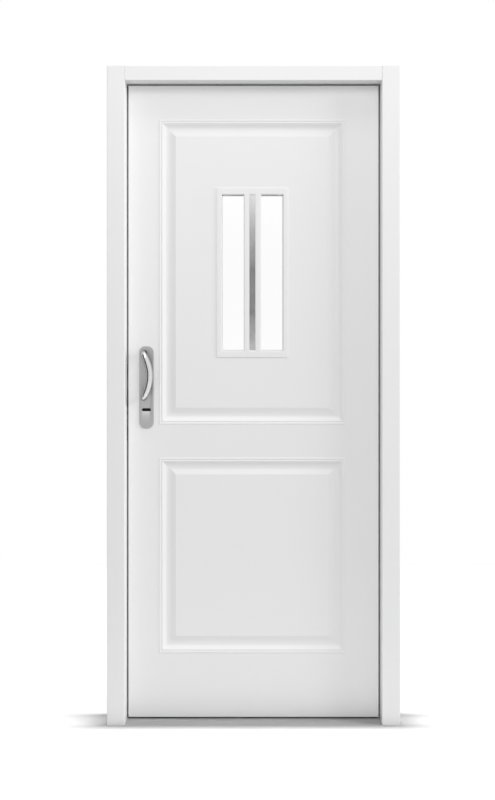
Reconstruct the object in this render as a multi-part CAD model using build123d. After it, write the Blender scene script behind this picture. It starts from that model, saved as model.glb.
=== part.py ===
from build123d import *
import os

os.makedirs("parts", exist_ok=True)

# Sheet metal entrance door: a pressed leaf in a three-sided steel frame, in millimetres.
# Working section: x = 0 at mid doorway and right as seen from outside, y = 0 at the frame's
# front and into the building, z = 0 at the floor. The hinges are on the right, inside.

# doorway and frame
DOORWAY_WIDTH = 800.0
DOORWAY_HEIGHT = 2005.0
FRAME_DEPTH = 100.0
JAMB_FACE = 56.0
HEAD_FACE = 45.0
FRAME_SHEET = 1.5
FRAME_BEND = 2.2
REBATE_STEP = 16.0
REBATE_DEPTH = 20.0
WALL_LIP = 15.0
BUTT_GAP = 0.5

# leaf
LEAF_THICKNESS = 45.0
LEAF_GAP = 5.0
FLOOR_GAP = 6.0
SEAL_GAP = 5.0
SKIN_SHEET = 1.0
SKIN_RETURN = 26.0
SKIN_BEND = 1.2

# pressed panels
LOCK_STILE = 95.5
HINGE_STILE = 102.5
TOP_RAIL = 106.5
LOCK_RAIL = 102.5
BOTTOM_RAIL = 201.0
LOWER_PANEL_HEIGHT = 619.0
PRESS_DEPTH = 10.0
FIELD_DEPTH = 1.5
MOULDING_WIDTH = 54.0
BEAD_RISE = 1.2
BEAD_WIDTH = 8.0
COVE_DEPTH = 7.5

# window
WINDOW_WIDTH = 192.0
WINDOW_HEIGHT = 491.0
WINDOW_DROP = 1.5
TRIM_SIDE = 16.5
TRIM_END = 22.5
TRIM_BEVEL = 6.0
TRIM_PROUD = 2.5
SLEEVE_WALL = 7.0
SLEEVE_CLEARANCE = 0.5
GLASS_SHEET = 4.0
GLASS_SPACE = 12.0
SPACER_WIDTH = 6.0
MULLION_WIDTH = 55.0
MULLION_BEVEL = 3.0
STRIP_WIDTH = 18.5
STRIP_RECESS = 3.0
STRIP_SHEET = 1.5
STRIP_CLEARANCE = 0.2

# handle plate, bow pull and keyhole
PLATE_WIDTH = 45.0
PLATE_HEIGHT = 260.0
PLATE_SHEET = 3.0
PLATE_CORNER = 20.0
PLATE_BEVEL = 0.8
PLATE_BACKSET = 57.0
PLATE_BOTTOM = 917.5
KEYHOLE_WIDTH = 28.0
KEYHOLE_HEIGHT = 9.5
KEYHOLE_RISE = 59.0
KEY_DEPTH = 9.0
GUIDE_WALL = 4.0
BOW_DIAMETER = 19.0
BOW_FOOT_RISE = 98.0
BOW_SPAN = 144.0
BOW_FOOT_SHIFT = -6.3
BOW_SWEEP = 19.0
BOW_REACH = 38.0
BOW_SINK = 6.0
BOW_BENDS = 12

# lock
LOCK_INSET = 11.0
LOCK_CLEARANCE = 0.3
FACEPLATE_WIDTH = 18.0
FACEPLATE_HEIGHT = 240.0
FACEPLATE_SHEET = 3.0
CASE_DEPTH = 82.0
CASE_THICKNESS = 16.0
CASE_HEIGHT = 176.0
LOCK_DROP = 37.5
BOLT_DIAMETER = 12.0
BOLT_LENGTH = 30.0
BOLT_PITCH = 22.0
BOLT_COUNT = 3
BOLT_RISE = 52.0
LATCH_WIDTH = 12.0
LATCH_HEIGHT = 20.0
LATCH_DROP = 60.0
BOLT_DRAWN_IN = 0.5
STRIKE_WIDTH = 20.0
STRIKE_BORDER = 1.5

# hinges
HINGE_END = 245.0
KNUCKLE_DIAMETER = 16.0
KNUCKLE_HEIGHT = 50.0
KNUCKLE_CLEARANCE = 1.0
PIN_DIAMETER = 10.0
PIN_CLEARANCE = 0.3
KNUCKLE_CAP = 4.0
FLAG_WIDTH = 34.0
FLAG_SHEET = 3.0

# seals and wall anchors
SEAL_WIDTH = 8.0
SEAL_BASE = 2.0
SEAL_EASE = 0.5
ANCHOR_HEIGHT = 60.0
ANCHOR_SHEET = 3.0
ANCHOR_LAP = 12.0
ANCHOR_EASE = 1.0
ANCHOR_END = 225.0
ANCHOR_HOLE = 9.0
ANCHOR_HOLE_SPACING = 40.0

# places that follow from the sizes
HALF_WAY = DOORWAY_WIDTH / 2
FRAME_EDGE = HALF_WAY + JAMB_FACE
FRAME_TOP = DOORWAY_HEIGHT + HEAD_FACE
STOP_Y = FRAME_DEPTH - REBATE_DEPTH
REBATE_EDGE = HALF_WAY + REBATE_STEP
REBATE_TOP = DOORWAY_HEIGHT + REBATE_STEP
LEAF_Y = FRAME_DEPTH - LEAF_THICKNESS
MIDDLE_Y = FRAME_DEPTH - LEAF_THICKNESS / 2
LEAF_EDGE = HALF_WAY - LEAF_GAP
LEAF_TOP = DOORWAY_HEIGHT - LEAF_GAP
LIP_Y = STOP_Y + SEAL_GAP
LIP_EDGE = REBATE_EDGE - LEAF_GAP
LIP_TOP = REBATE_TOP - LEAF_GAP
FIELD_Y = LEAF_Y + FIELD_DEPTH
TRIM_Y = FIELD_Y - TRIM_PROUD
GLASS_Y = MIDDLE_Y - GLASS_SPACE / 2 - GLASS_SHEET
PANEL_WIDTH = 2 * LEAF_EDGE - LOCK_STILE - HINGE_STILE
PANEL_SHIFT = (LOCK_STILE - HINGE_STILE) / 2
LOWER_PANEL_BOTTOM = FLOOR_GAP + BOTTOM_RAIL
UPPER_PANEL_BOTTOM = LOWER_PANEL_BOTTOM + LOWER_PANEL_HEIGHT + LOCK_RAIL
UPPER_PANEL_HEIGHT = LEAF_TOP - TOP_RAIL - UPPER_PANEL_BOTTOM
WINDOW_Z = UPPER_PANEL_BOTTOM + UPPER_PANEL_HEIGHT / 2 - WINDOW_DROP
SLEEVE_WIDTH = WINDOW_WIDTH + 2 * SLEEVE_WALL
SLEEVE_HEIGHT = WINDOW_HEIGHT + 2 * SLEEVE_WALL
PLATE_X = -LEAF_EDGE + PLATE_BACKSET
PLATE_Y = LEAF_Y - PLATE_SHEET
KEYHOLE_Z = PLATE_BOTTOM + KEYHOLE_RISE
LOCK_Y = LEAF_Y + LOCK_INSET
LOCK_BOTTOM = PLATE_BOTTOM - LOCK_DROP
LOCK_Z = LOCK_BOTTOM + FACEPLATE_HEIGHT / 2
HINGE_X = (LIP_EDGE + REBATE_EDGE) / 2
HINGE_Y = FRAME_DEPTH + KNUCKLE_CLEARANCE + KNUCKLE_DIAMETER / 2
HINGE_HEIGHTS = (FLOOR_GAP + HINGE_END, (FLOOR_GAP + LEAF_TOP) / 2, LEAF_TOP - HINGE_END)
ANCHOR_HEIGHTS = (ANCHOR_END, FRAME_TOP / 2, FRAME_TOP - ANCHOR_END)
HELD_POINT = (FRAME_EDGE, FRAME_DEPTH / 2, FRAME_TOP / 2)

# panel moulding from its outer edge: inset and height over the leaf's face
MOULDING = (
    (0.0, 0.0),
    (BEAD_WIDTH * 0.4, BEAD_RISE),
    (BEAD_WIDTH * 0.65, BEAD_RISE),
    (BEAD_WIDTH, 0.0),
    (BEAD_WIDTH + 1.0, -0.4),
    (BEAD_WIDTH + 2.6, 0.8),
    (BEAD_WIDTH + 4.2, 0.8),
    (MOULDING_WIDTH * 0.43, -COVE_DEPTH + 0.5),
    (MOULDING_WIDTH * 0.5, -COVE_DEPTH),
    (MOULDING_WIDTH * 0.61, -COVE_DEPTH),
    (MOULDING_WIDTH, -FIELD_DEPTH),
)
PANELS = (
    (UPPER_PANEL_BOTTOM, UPPER_PANEL_HEIGHT),
    (LOWER_PANEL_BOTTOM, LOWER_PANEL_HEIGHT),
)


def span(x0, x1, y0, y1, z0, z1):
    """A box between two corners."""
    middle = ((x0 + x1) / 2, (y0 + y1) / 2, (z0 + z1) / 2)
    return Pos(*middle) * Box(x1 - x0, y1 - y0, z1 - z0)


def centred(x, z, width, height, y0, y1):
    """A box around a point of the door's face."""
    return span(x - width / 2, x + width / 2, y0, y1, z - height / 2, z + height / 2)


def inside(shape):
    """The same piece on the leaf's inner side."""
    return mirror(shape, about=Plane((0, MIDDLE_Y, 0), z_dir=(0, 1, 0)))


def other_jamb(shape):
    """The same piece at the lock side."""
    return mirror(shape, about=Plane.YZ)


def save(shape, node):
    """Put a piece in the door's own frame and write it."""
    x, y, z = HELD_POINT
    export_step(Pos(-x, -y, -z) * shape, f"parts/{node}.step")


def folded(points):
    """A folded sheet profile: the outline, hollow to the sheet's thickness."""
    outline = make_face(Polyline(*points, close=True))
    outline = fillet(outline.vertices(), FRAME_BEND)
    return outline - offset(outline, amount=-FRAME_SHEET)


def jamb():
    """The hinge-side jamb, a channel that is open to the wall between its lips."""
    profile = folded([
        (HALF_WAY, 0), (FRAME_EDGE, 0), (FRAME_EDGE, FRAME_DEPTH),
        (REBATE_EDGE, FRAME_DEPTH), (REBATE_EDGE, STOP_Y), (HALF_WAY, STOP_Y),
    ])
    body = extrude(profile, amount=FRAME_TOP, dir=(0, 0, 1))
    wall_side = span(FRAME_EDGE - 2 * FRAME_SHEET, FRAME_EDGE + 1, WALL_LIP,
                     FRAME_DEPTH - WALL_LIP, -1, FRAME_TOP + 1)
    return body - wall_side


def head():
    """The head, between the jambs in front and behind their stops at the back."""
    profile = Plane.YZ * folded([
        (0, DOORWAY_HEIGHT), (0, FRAME_TOP), (FRAME_DEPTH, FRAME_TOP),
        (FRAME_DEPTH, REBATE_TOP), (STOP_Y, REBATE_TOP), (STOP_Y, DOORWAY_HEIGHT),
    ])
    back = REBATE_EDGE - BUTT_GAP
    front = HALF_WAY - BUTT_GAP
    body = Pos(-back, 0, 0) * extrude(profile, amount=2 * back, dir=(1, 0, 0))
    wall_side = span(-back - 1, back + 1, WALL_LIP, FRAME_DEPTH - WALL_LIP,
                     FRAME_TOP - 2 * FRAME_SHEET, FRAME_TOP + 1)
    body -= wall_side
    for side in (-1, 1):
        end = span(front, back + 1, -1, STOP_Y + FRAME_BEND, DOORWAY_HEIGHT - 1, FRAME_TOP + 1)
        body -= end if side > 0 else other_jamb(end)
    return body


def anchors():
    """Joggled wall straps behind the lips, their middle flush with the wall side."""
    front, back, t = WALL_LIP, FRAME_DEPTH - WALL_LIP, ANCHOR_SHEET
    seat, step, lap, ease = FRAME_EDGE - FRAME_SHEET, FRAME_SHEET, ANCHOR_LAP, ANCHOR_EASE
    turn = ease + ANCHOR_SHEET * 0.4
    outer = [
        (seat, front - lap), (seat, front + ease), (FRAME_EDGE, front + ease + step),
        (FRAME_EDGE, back - ease - step), (seat, back - ease), (seat, back + lap),
    ]
    inner = [
        (seat - t, back + lap), (seat - t, back - turn), (FRAME_EDGE - t, back - turn - step),
        (FRAME_EDGE - t, front + turn + step), (seat - t, front + turn), (seat - t, front - lap),
    ]
    section = make_face(Polyline(*outer, *inner, close=True))
    strap = Pos(0, 0, -ANCHOR_HEIGHT / 2) * extrude(section, amount=ANCHOR_HEIGHT, dir=(0, 0, 1))
    for side in (-1, 1):
        hole = Pos(FRAME_EDGE, FRAME_DEPTH / 2 + side * ANCHOR_HOLE_SPACING / 2, 0)
        strap -= hole * Rot(0, 90, 0) * Cylinder(ANCHOR_HOLE / 2, 6 * t)
    return Compound(children=[Pos(0, 0, z) * strap for z in ANCHOR_HEIGHTS])


def seal_section(start):
    """A bulb seal on the stop, from a place beside the reveal."""
    tip = SEAL_GAP - SEAL_EASE
    base = Polyline(
        (start, STOP_Y + SEAL_BASE), (start, STOP_Y),
        (start + SEAL_WIDTH, STOP_Y), (start + SEAL_WIDTH, STOP_Y + SEAL_BASE),
    )
    bulb = ThreePointArc(base @ 1, (start + SEAL_WIDTH / 2, STOP_Y + tip), base @ 0)
    return make_face([base, bulb])


def side_seal():
    start = HALF_WAY + (REBATE_STEP - LEAF_GAP - SEAL_WIDTH)
    length = DOORWAY_HEIGHT + (start - HALF_WAY) - BUTT_GAP
    return extrude(seal_section(start), amount=length, dir=(0, 0, 1))


def head_seal():
    start = DOORWAY_HEIGHT + (REBATE_STEP - LEAF_GAP - SEAL_WIDTH)
    half = HALF_WAY + (REBATE_STEP - LEAF_GAP)
    profile = Plane((0, 0, 0), x_dir=(0, 0, 1), z_dir=(-1, 0, 0)) * seal_section(start)
    return Pos(half, 0, 0) * extrude(profile, amount=2 * half, dir=(-1, 0, 0))


def moulding(width, height):
    """The mitred ring of a pressed panel, around the origin of the leaf's face."""
    points = [(-width / 2 + inset, -rise, 0) for inset, rise in MOULDING]
    points += [(-width / 2 + MOULDING_WIDTH, PRESS_DEPTH, 0), (-width / 2, PRESS_DEPTH, 0)]
    section = make_face(Polyline(*points, close=True))
    corners = [(-width / 2, 0, -height / 2), (-width / 2, 0, height / 2),
               (width / 2, 0, height / 2), (width / 2, 0, -height / 2)]
    path = Wire.make_polygon(corners, close=True)
    return sweep(section, path=path, transition=Transition.RIGHT)


def pressed(block, face_y):
    """A block with both panels pressed in its outer face, which lies at face_y."""
    for bottom, height in PANELS:
        z = bottom + height / 2
        field_w, field_h = PANEL_WIDTH - 2 * MOULDING_WIDTH, height - 2 * MOULDING_WIDTH
        block -= centred(PANEL_SHIFT, z, PANEL_WIDTH, height, face_y - 1, face_y + PRESS_DEPTH)
        block += Pos(PANEL_SHIFT, face_y, z) * moulding(PANEL_WIDTH, height)
        block += centred(PANEL_SHIFT, z, field_w, field_h, face_y + FIELD_DEPTH,
                         face_y + PRESS_DEPTH)
    return block


def window_hole(extra=0.0):
    """The hole for the window's sleeves, through the whole leaf."""
    return centred(PANEL_SHIFT, WINDOW_Z, SLEEVE_WIDTH + 2 * (SLEEVE_CLEARANCE + extra),
                   SLEEVE_HEIGHT + 2 * (SLEEVE_CLEARANCE + extra), 0, 2 * FRAME_DEPTH)


def faceplate_hole(clearance):
    """The cut for the lock's faceplate in the leaf's edge."""
    return span(-LEAF_EDGE - 1, -LEAF_EDGE + FACEPLATE_SHEET,
                LOCK_Y - FACEPLATE_WIDTH / 2 - clearance,
                LOCK_Y + FACEPLATE_WIDTH / 2 + clearance,
                LOCK_BOTTOM - clearance, LOCK_BOTTOM + FACEPLATE_HEIGHT + clearance)


def guide_block(clearance, y0, y1):
    """The block of a key guide."""
    width = KEYHOLE_WIDTH + 2 * (GUIDE_WALL + clearance)
    height = KEYHOLE_HEIGHT + 2 * (GUIDE_WALL + clearance)
    return centred(PLATE_X, KEYHOLE_Z, width, height, y0, y1)


def slot(x, z, width, height, y0, y1):
    """A slot with round ends, lying along x."""
    profile = Plane((x, y0, z), x_dir=(1, 0, 0), z_dir=(0, -1, 0)) * SlotOverall(width, height)
    return extrude(profile, amount=y1 - y0, dir=(0, 1, 0))


def outer_skin():
    """The outer pan of the leaf, with its edges turned back to the lip."""
    pan = span(-LEAF_EDGE, LEAF_EDGE, LEAF_Y, LIP_Y, FLOOR_GAP, LEAF_TOP)
    pan = fillet(pan.edges().group_by(Axis.Y)[0], SKIN_BEND)
    t = SKIN_SHEET
    fill = span(-LEAF_EDGE + t, LEAF_EDGE - t, LEAF_Y + t, LIP_Y + 1, FLOOR_GAP + t, LEAF_TOP - t)
    skin = pressed(pan, LEAF_Y) - pressed(fill, LEAF_Y + t)
    skin -= window_hole()
    skin -= faceplate_hole(LOCK_CLEARANCE)
    return skin - guide_block(LOCK_CLEARANCE, 0, MIDDLE_Y)


def inner_skin():
    """The inner pan with the lip that closes on the seals."""
    pan = span(-LIP_EDGE, LIP_EDGE, LIP_Y, FRAME_DEPTH, FLOOR_GAP, LIP_TOP)
    pan = fillet(pan.edges().group_by(Axis.Y)[-1], SKIN_BEND)
    t = SKIN_SHEET
    fill = span(-LIP_EDGE + t, LIP_EDGE - t, LIP_Y + t, FRAME_DEPTH - t, FLOOR_GAP + t, LIP_TOP - t)
    skin = inside(pressed(inside(pan), LEAF_Y)) - inside(pressed(inside(fill), LEAF_Y + t))
    skin -= span(-LIP_EDGE + SKIN_RETURN, LIP_EDGE - SKIN_RETURN, LIP_Y - 1, LIP_Y + 2 * t,
                 FLOOR_GAP + SKIN_RETURN, LIP_TOP - SKIN_RETURN)
    skin -= window_hole()
    return skin - guide_block(LOCK_CLEARANCE, MIDDLE_Y, 2 * FRAME_DEPTH)


def core():
    """The filling between the skins, with pockets for the lock and the window."""
    t, edge = SKIN_SHEET, SKIN_RETURN
    front = span(-LEAF_EDGE + t, LEAF_EDGE - t, LEAF_Y + t, LIP_Y, FLOOR_GAP + t, LEAF_TOP - t)
    middle = span(-LIP_EDGE + edge, LIP_EDGE - edge, LIP_Y, LIP_Y + t, FLOOR_GAP + edge,
                  LIP_TOP - edge)
    back = span(-LIP_EDGE + t, LIP_EDGE - t, LIP_Y + t, FRAME_DEPTH - t, FLOOR_GAP + t, LIP_TOP - t)
    fill = pressed(front, LEAF_Y + t) + middle
    fill += inside(pressed(inside(back), LEAF_Y + t))
    fill -= window_hole()
    fill -= case_block(LOCK_CLEARANCE)
    fill -= faceplate_hole(LOCK_CLEARANCE)
    return fill - guide_block(LOCK_CLEARANCE, 0, 2 * FRAME_DEPTH)


def mullion():
    """Two bevelled bars, flush with the trim, with a recess for the metal strip between them."""
    half, seat = MULLION_WIDTH / 2, STRIP_WIDTH / 2 + STRIP_CLEARANCE
    floor = TRIM_Y + STRIP_RECESS + STRIP_SHEET
    points = [
        (-half, GLASS_Y), (-half, TRIM_Y + MULLION_BEVEL), (-half + MULLION_BEVEL, TRIM_Y),
        (half - MULLION_BEVEL, TRIM_Y), (half, TRIM_Y + MULLION_BEVEL), (half, GLASS_Y),
    ]
    length = WINDOW_HEIGHT + 2 * TRIM_BEVEL
    section = make_face(Polyline(*points, close=True))
    bars = Pos(0, 0, -length / 2) * extrude(section, amount=length, dir=(0, 0, 1))
    recess = centred(0, 0, 2 * seat, WINDOW_HEIGHT, 0, floor)
    return Pos(PANEL_SHIFT, 0, WINDOW_Z) * (bars - recess)


def window_trim():
    """The outer trim: a flange on the panel's field, a sleeve to the glass and the mullion."""
    flange = centred(PANEL_SHIFT, WINDOW_Z, WINDOW_WIDTH + 2 * TRIM_SIDE,
                     WINDOW_HEIGHT + 2 * TRIM_END, TRIM_Y, FIELD_Y)
    flange = chamfer(flange.edges().group_by(Axis.Y)[0], TRIM_PROUD * 0.6)
    sleeve = centred(PANEL_SHIFT, WINDOW_Z, SLEEVE_WIDTH, SLEEVE_HEIGHT, FIELD_Y, GLASS_Y)
    mouth_plane = Plane((PANEL_SHIFT, TRIM_Y, WINDOW_Z), x_dir=(1, 0, 0), z_dir=(0, 1, 0))
    mouth = extrude(
        mouth_plane * Rectangle(WINDOW_WIDTH + 2 * TRIM_BEVEL, WINDOW_HEIGHT + 2 * TRIM_BEVEL),
        amount=TRIM_BEVEL, taper=45,
    )
    clear = centred(PANEL_SHIFT, WINDOW_Z, WINDOW_WIDTH, WINDOW_HEIGHT, 0, FRAME_DEPTH)
    return flange + sleeve - mouth - clear + mullion()


def glass():
    """The outer pane of the sealed unit."""
    return centred(PANEL_SHIFT, WINDOW_Z, SLEEVE_WIDTH, SLEEVE_HEIGHT, GLASS_Y,
                   GLASS_Y + GLASS_SHEET)


def spacer():
    """The spacer bar between the panes, around the clear opening."""
    y0, y1 = GLASS_Y + GLASS_SHEET, GLASS_Y + GLASS_SHEET + GLASS_SPACE
    ring = centred(PANEL_SHIFT, WINDOW_Z, SLEEVE_WIDTH, SLEEVE_HEIGHT, y0, y1)
    return ring - centred(PANEL_SHIFT, WINDOW_Z, SLEEVE_WIDTH - 2 * SPACER_WIDTH,
                          SLEEVE_HEIGHT - 2 * SPACER_WIDTH, y0 - 1, y1 + 1)


def mullion_strip():
    front = TRIM_Y + STRIP_RECESS
    return centred(PANEL_SHIFT, WINDOW_Z, STRIP_WIDTH, WINDOW_HEIGHT - 2 * STRIP_CLEARANCE,
                   front, front + STRIP_SHEET)


def handle_plate():
    """The long plate on the stile, with the keyhole slot."""
    z = PLATE_BOTTOM + PLATE_HEIGHT / 2
    face = Plane((PLATE_X, LEAF_Y, z), x_dir=(1, 0, 0), z_dir=(0, -1, 0))
    plate = extrude(face * RectangleRounded(PLATE_WIDTH, PLATE_HEIGHT, PLATE_CORNER),
                    amount=PLATE_SHEET)
    plate = chamfer(plate.edges().group_by(Axis.Y)[0], PLATE_BEVEL)
    return plate - slot(PLATE_X, KEYHOLE_Z, KEYHOLE_WIDTH, KEYHOLE_HEIGHT, 0, FRAME_DEPTH)


def bow_pull():
    """The bow, a round bar bent to an arc that leans toward the middle of the leaf."""
    low, x, depth = PLATE_BOTTOM + BOW_FOOT_RISE, PLATE_X + BOW_FOOT_SHIFT, PLATE_Y + BOW_SINK
    arc = ThreePointArc(
        (x, depth, low), (x + BOW_SWEEP, PLATE_Y - BOW_REACH, low + BOW_SPAN / 2),
        (x, depth, low + BOW_SPAN),
    )
    path = Polyline(*[arc @ (i / BOW_BENDS) for i in range(BOW_BENDS + 1)])
    start = Plane(path @ 0, z_dir=path % 0)
    bar = sweep(start * Circle(BOW_DIAMETER / 2), path=path, transition=Transition.RIGHT)
    below = centred(x, low + BOW_SPAN / 2, 4 * BOW_DIAMETER, 2 * BOW_SPAN, PLATE_Y, FRAME_DEPTH)
    return bar - below


def key_guide(y_end):
    """The black guide behind the keyhole, a blind slot for the key."""
    block = guide_block(0, LEAF_Y, y_end)
    return block - slot(PLATE_X, KEYHOLE_Z, KEYHOLE_WIDTH, KEYHOLE_HEIGHT, 0, LEAF_Y + KEY_DEPTH)


def case_block(clearance):
    x0 = -LEAF_EDGE + FACEPLATE_SHEET
    z0 = LOCK_Z - CASE_HEIGHT / 2
    half = CASE_THICKNESS / 2 + clearance
    return span(x0, x0 + CASE_DEPTH + clearance, LOCK_Y - half, LOCK_Y + half,
                z0 - clearance, z0 + CASE_HEIGHT + clearance)


def bolt_heights():
    return [LOCK_BOTTOM + BOLT_RISE + i * BOLT_PITCH for i in range(BOLT_COUNT)]


def bolt_rods(radius, x0, x1):
    """Round bars along x at each bolt."""
    rods = [
        Pos((x0 + x1) / 2, LOCK_Y, z) * Rot(0, 90, 0) * Cylinder(radius, x1 - x0)
        for z in bolt_heights()
    ]
    return rods


def latch_block(clearance, x0, x1):
    z = LOCK_BOTTOM + FACEPLATE_HEIGHT - LATCH_DROP
    half_w, half_h = LATCH_WIDTH / 2 + clearance, LATCH_HEIGHT / 2 + clearance
    return span(x0, x1, LOCK_Y - half_w, LOCK_Y + half_w, z - half_h, z + half_h)


def lock_case():
    case = case_block(0)
    inner_end = -LEAF_EDGE + BOLT_DRAWN_IN + BOLT_LENGTH + LOCK_CLEARANCE
    for rod in bolt_rods(BOLT_DIAMETER / 2 + LOCK_CLEARANCE, -HALF_WAY, inner_end):
        case -= rod
    case -= latch_block(LOCK_CLEARANCE, -HALF_WAY, inner_end)
    return case - guide_block(LOCK_CLEARANCE, 0, 2 * FRAME_DEPTH)


def lock_faceplate():
    plate = span(-LEAF_EDGE, -LEAF_EDGE + FACEPLATE_SHEET, LOCK_Y - FACEPLATE_WIDTH / 2,
                 LOCK_Y + FACEPLATE_WIDTH / 2, LOCK_BOTTOM, LOCK_BOTTOM + FACEPLATE_HEIGHT)
    for rod in bolt_rods(BOLT_DIAMETER / 2 + LOCK_CLEARANCE, -HALF_WAY, 0):
        plate -= rod
    return plate - latch_block(LOCK_CLEARANCE, -HALF_WAY, 0)


def latch():
    x0 = -LEAF_EDGE + BOLT_DRAWN_IN
    bolt = latch_block(0, x0, x0 + BOLT_LENGTH)
    nose = bolt.edges().filter_by(Axis.Z).sort_by(Axis.X)[:2].sort_by(Axis.Y)[-1:]
    return chamfer(nose, LATCH_WIDTH * 0.8, LATCH_WIDTH * 0.5)


def dead_bolts():
    x0 = -LEAF_EDGE + BOLT_DRAWN_IN
    return Compound(children=bolt_rods(BOLT_DIAMETER / 2, x0, x0 + BOLT_LENGTH))


def strike_block(border, x0, x1):
    half = STRIKE_WIDTH / 2 + border
    return span(x0, x1, LOCK_Y - half, LOCK_Y + half, LOCK_BOTTOM - border,
                LOCK_BOTTOM + FACEPLATE_HEIGHT + border)


def strike_plate():
    """The strike, flush in the lock-side reveal and welded behind it."""
    t = FRAME_SHEET
    plate = strike_block(0, -HALF_WAY - t, -HALF_WAY)
    plate += strike_block(STRIKE_BORDER, -HALF_WAY - 2 * t, -HALF_WAY - t)
    for rod in bolt_rods(BOLT_DIAMETER / 2 + 1, -FRAME_EDGE, 0):
        plate -= rod
    return plate - latch_block(1, -FRAME_EDGE, 0)


def knuckle(z0, z1, radius):
    return Pos(HINGE_X, HINGE_Y, (z0 + z1) / 2) * Cylinder(radius, z1 - z0)


def hinge_frame_halves():
    """The lower knuckles with their pins, and the flags on the jamb's back face."""
    low, top = -KNUCKLE_HEIGHT, -PIN_CLEARANCE
    half = knuckle(low, top, KNUCKLE_DIAMETER / 2)
    half += knuckle(top, KNUCKLE_HEIGHT - KNUCKLE_CAP - 1, PIN_DIAMETER / 2)
    half += span(HINGE_X, HINGE_X + FLAG_WIDTH, FRAME_DEPTH, FRAME_DEPTH + FLAG_SHEET, low, top)
    return Compound(children=[Pos(0, 0, z) * half for z in HINGE_HEIGHTS])


def hinge_leaf_halves():
    """The upper knuckles with their blind bores, and the flags on the leaf."""
    top = KNUCKLE_HEIGHT
    half = knuckle(0, top, KNUCKLE_DIAMETER / 2)
    half += span(HINGE_X - FLAG_WIDTH, HINGE_X, FRAME_DEPTH, FRAME_DEPTH + FLAG_SHEET, 0, top)
    half -= knuckle(-1, top - KNUCKLE_CAP, PIN_DIAMETER / 2 + PIN_CLEARANCE)
    return Compound(children=[Pos(0, 0, z) * half for z in HINGE_HEIGHTS])


strike_hole = strike_block(LOCK_CLEARANCE, -HALF_WAY - FRAME_SHEET - 0.2, -HALF_WAY + 1)
save(jamb(), "jamb_hinge_side")
save(other_jamb(jamb()) - strike_hole, "jamb_lock_side")
save(head(), "head")
save(side_seal(), "seal_hinge_side")
save(other_jamb(side_seal()), "seal_lock_side")
save(head_seal(), "seal_head")
save(strike_plate(), "strike_plate")
save(anchors(), "anchors_hinge_side")
save(other_jamb(anchors()), "anchors_lock_side")
save(hinge_frame_halves(), "hinge_frame_halves")
save(hinge_leaf_halves(), "hinge_leaf_halves")

save(outer_skin(), "outer_skin")
save(inner_skin(), "inner_skin")
save(core(), "core")
save(window_trim(), "window_trim_outer")
save(inside(window_trim()), "window_trim_inner")
save(glass(), "glass_outer")
save(inside(glass()), "glass_inner")
save(spacer(), "glass_spacer")
save(mullion_strip(), "mullion_strip_outer")
save(inside(mullion_strip()), "mullion_strip_inner")
save(handle_plate(), "handle_plate_outer")
save(inside(handle_plate()), "handle_plate_inner")
save(bow_pull(), "bow_pull_outer")
save(inside(bow_pull()), "bow_pull_inner")
save(key_guide(LOCK_Y), "key_guide_outer")
save(inside(key_guide(2 * MIDDLE_Y - LOCK_Y - LOCK_CLEARANCE)), "key_guide_inner")
save(lock_case(), "lock_case")
save(lock_faceplate(), "lock_faceplate")
save(latch(), "latch")
save(dead_bolts(), "dead_bolts")
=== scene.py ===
"""Sheet metal door: finishes, pressings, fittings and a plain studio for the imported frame."""

import math
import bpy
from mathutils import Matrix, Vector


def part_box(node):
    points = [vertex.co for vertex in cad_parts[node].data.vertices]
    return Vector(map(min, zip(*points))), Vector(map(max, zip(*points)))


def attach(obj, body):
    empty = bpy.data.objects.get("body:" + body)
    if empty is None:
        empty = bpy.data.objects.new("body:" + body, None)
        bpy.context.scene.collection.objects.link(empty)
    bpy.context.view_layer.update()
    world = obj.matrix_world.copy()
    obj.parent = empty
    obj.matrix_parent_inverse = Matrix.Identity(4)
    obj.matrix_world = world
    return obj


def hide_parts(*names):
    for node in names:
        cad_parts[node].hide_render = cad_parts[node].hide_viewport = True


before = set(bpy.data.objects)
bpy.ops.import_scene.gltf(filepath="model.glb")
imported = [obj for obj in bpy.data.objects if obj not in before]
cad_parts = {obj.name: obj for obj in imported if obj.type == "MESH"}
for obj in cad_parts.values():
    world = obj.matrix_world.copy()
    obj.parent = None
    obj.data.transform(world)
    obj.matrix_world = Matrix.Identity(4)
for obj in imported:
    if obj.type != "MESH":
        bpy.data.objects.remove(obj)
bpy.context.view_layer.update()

from types import SimpleNamespace

import bmesh
import bpy
from bpy.props import FloatProperty, FloatVectorProperty, PointerProperty
from mathutils import Vector

bl_info = {
    "name": "Sheet Metal Door",
    "version": (1, 0, 0),
    "blender": (4, 5, 0),
    "location": "3D View > Sidebar > Door",
    "description": "Dresses a sheet metal door in its steel frame",
    "category": "Object",
}

MM = 0.001
FINISH_PREFIX = "door_"

# the doorway's own axes, in millimetres: x from mid doorway, y from the frame's front,
# z from the floor
_hinge_jamb, _lock_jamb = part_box("jamb_hinge_side"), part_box("jamb_lock_side")
ORIGIN = Vector(((_hinge_jamb[1].x + _lock_jamb[0].x) / 2, _hinge_jamb[0].y, _hinge_jamb[0].z))


def span_of(node):
    """A CAD node's corners in the doorway's axes, in millimetres."""
    low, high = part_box(node)
    return (low - ORIGIN) / MM, (high - ORIGIN) / MM


def at(x, y, z):
    """A point given in the doorway's axes, as the frame has it."""
    return ORIGIN + Vector((x, y, z)) * MM


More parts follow.
